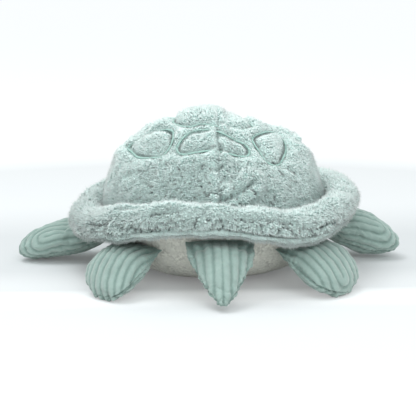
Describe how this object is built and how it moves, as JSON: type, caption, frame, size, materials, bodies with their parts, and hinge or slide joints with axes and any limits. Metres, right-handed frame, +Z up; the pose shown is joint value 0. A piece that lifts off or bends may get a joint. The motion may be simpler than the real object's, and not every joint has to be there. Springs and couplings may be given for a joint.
{
  "type": "plush sea turtle",
  "caption": "Stuffed sea turtle lying on its belly: furry domed shell with a stuffed rim, corduroy flippers, tail and head hinged at their seams.",
  "frame": {"origin": "middle of the flat patch on which the belly rests", "axes": "+Z up out of the top of the shell, +Y towards the head, the tail points along -Y"},
  "size_m": [0.3539, 0.3597, 0.1445],
  "materials": {
    "plush": "long pile faux fur, sage green",
    "lip_plush": "shorter pile faux fur, sage green",
    "cream_pile": "short pile plush, cream",
    "corduroy": "wide-wale corduroy, mint green",
    "stuffing": "white polyester fibre",
    "thread": "satin-stitched embroidery thread, dark grey"
  },
  "bodies": {
    "shell": {"dome_panel_left": "plush", "dome_panel_right": "plush", "rim_upper_left": "plush", "rim_upper_right": "plush", "rim_lower_left": "lip_plush", "rim_lower_right": "lip_plush", "rim_filling": "stuffing", "belly_panel": "cream_pile", "body_filling": "stuffing"},
    "rear_left_flipper": {"rear_left_upper": "corduroy", "rear_left_lower": "corduroy", "rear_left_filling": "stuffing"},
    "rear_right_flipper": {"rear_right_upper": "corduroy", "rear_right_lower": "corduroy", "rear_right_filling": "stuffing"},
    "front_left_flipper": {"front_left_upper": "corduroy", "front_left_lower": "corduroy", "front_left_filling": "stuffing"},
    "front_right_flipper": {"front_right_upper": "corduroy", "front_right_lower": "corduroy", "front_right_filling": "stuffing"},
    "tail": {"tail_upper": "corduroy", "tail_lower": "corduroy", "tail_filling": "stuffing"},
    "head": {"head_left_panel": "corduroy", "head_right_panel": "corduroy", "head_chin_panel": "cream_pile", "head_filling": "stuffing", "eye_left": "thread", "eye_right": "thread"}
  },
  "joints": [
    {"name": "rear_left_flap", "type": "hinge", "parent": "shell", "child": "rear_left_flipper", "pos_m": [-0.06827, -0.07449, 0.03504], "axis": [-0.6994, 0.7148, 0], "range_deg": [-35, 5], "stiffness_Nm_per_rad": 0.06},
    {"name": "rear_right_flap", "type": "hinge", "parent": "shell", "child": "rear_right_flipper", "pos_m": [0.06827, -0.07449, 0.03504], "axis": [-0.6994, -0.7148, 0], "range_deg": [-35, 5], "stiffness_Nm_per_rad": 0.06},
    {"name": "front_left_flap", "type": "hinge", "parent": "shell", "child": "front_left_flipper", "pos_m": [-0.08977, 0.03443, 0.02903], "axis": [0.3252, 0.9456, 0], "range_deg": [-35, 5], "stiffness_Nm_per_rad": 0.08},
    {"name": "front_right_flap", "type": "hinge", "parent": "shell", "child": "front_right_flipper", "pos_m": [0.0933, 0.03578, 0.03819], "axis": [0.3252, -0.9456, 0], "range_deg": [-35, 5], "stiffness_Nm_per_rad": 0.08},
    {"name": "tail_flap", "type": "hinge", "parent": "shell", "child": "tail", "pos_m": [0, -0.10646, 0.04405], "axis": [-1, 0, 0], "range_deg": [-30, 5], "stiffness_Nm_per_rad": 0.05},
    {"name": "head_nod", "type": "hinge", "parent": "shell", "child": "head", "pos_m": [0, 0.10717, 0.02392], "axis": [1, 0, 0], "range_deg": [-15, 8], "stiffness_Nm_per_rad": 0.25}
  ]
}
